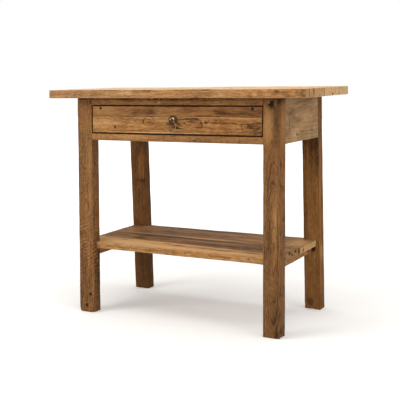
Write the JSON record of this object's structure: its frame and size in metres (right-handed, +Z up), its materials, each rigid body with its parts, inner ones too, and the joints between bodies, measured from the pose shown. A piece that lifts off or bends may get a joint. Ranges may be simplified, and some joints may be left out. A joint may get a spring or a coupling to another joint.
{
  "type": "potting bench",
  "caption": "Rustic wooden potting bench: plank top on leaning legs, a drawer with a ring pull in the apron, and a low slatted shelf.",
  "frame": {"origin": "on the floor, midway along the top's length and midway between the foremost and the rearmost points", "axes": "+X along the bench to the right as seen from the drawer's side, -Y to the front where the drawer opens, +Z up"},
  "size_m": [1.002, 0.4435, 0.82],
  "materials": {
    "top_wood": "worn reclaimed teak, sun-bleached, oiled",
    "leg_wood": "worn reclaimed teak, brown, oiled",
    "apron_wood": "worn reclaimed teak, grey-brown",
    "rail_wood": "worn reclaimed teak, brown, oiled",
    "drawer_wood": "worn reclaimed teak, warm brown, oiled",
    "shelf_wood": "worn reclaimed teak, weathered",
    "inner_wood": "planed teak, bare",
    "old_brass": "aged, dark, rubbed bright on its high spots",
    "nail_steel": "dull, rusted dark"
  },
  "bodies": {
    "frame": {"top_plank_front": "top_wood", "top_plank_second": "top_wood", "top_plank_third": "top_wood", "top_plank_back": "top_wood", "leg_front_left": "leg_wood", "leg_back_left": "leg_wood", "side_apron_left": "apron_wood", "shelf_rail_left": "rail_wood", "runner_left": "inner_wood", "kicker_left": "inner_wood", "guide_left": "inner_wood", "drawer_stop_left": "inner_wood", "leg_front_right": "leg_wood", "leg_back_right": "leg_wood", "side_apron_right": "apron_wood", "shelf_rail_right": "rail_wood", "runner_right": "inner_wood", "kicker_right": "inner_wood", "guide_right": "inner_wood", "drawer_stop_right": "inner_wood", "front_upper_rail": "rail_wood", "front_lower_rail": "rail_wood", "back_apron": "apron_wood", "shelf_plank_front": "shelf_wood", "shelf_plank_middle": "shelf_wood", "shelf_plank_back": "shelf_wood", "top_screws": "nail_steel", "shelf_nails": "nail_steel", "guide_nails": "nail_steel", "stop_nails": "nail_steel"},
    "drawer": {"drawer_front_lower": "drawer_wood", "drawer_front_upper": "drawer_wood", "drawer_side_left": "inner_wood", "drawer_side_right": "inner_wood", "drawer_back": "inner_wood", "drawer_bottom": "inner_wood", "bottom_nails": "nail_steel", "drawer_front_nails": "nail_steel", "pull_rosette": "old_brass", "pull_eye": "old_brass"},
    "ring": {"pull_ring": "old_brass"}
  },
  "joints": [
    {"name": "drawer_slide", "type": "slide", "parent": "frame", "child": "drawer", "axis": [0, -1, 0], "range_m": [0, 0.25]},
    {"name": "ring_swing", "type": "hinge", "parent": "drawer", "child": "ring", "pos_m": [0, -0.19443, 0.7133], "axis": [-1, 0, 0], "range_deg": [-10, 185]}
  ]
}
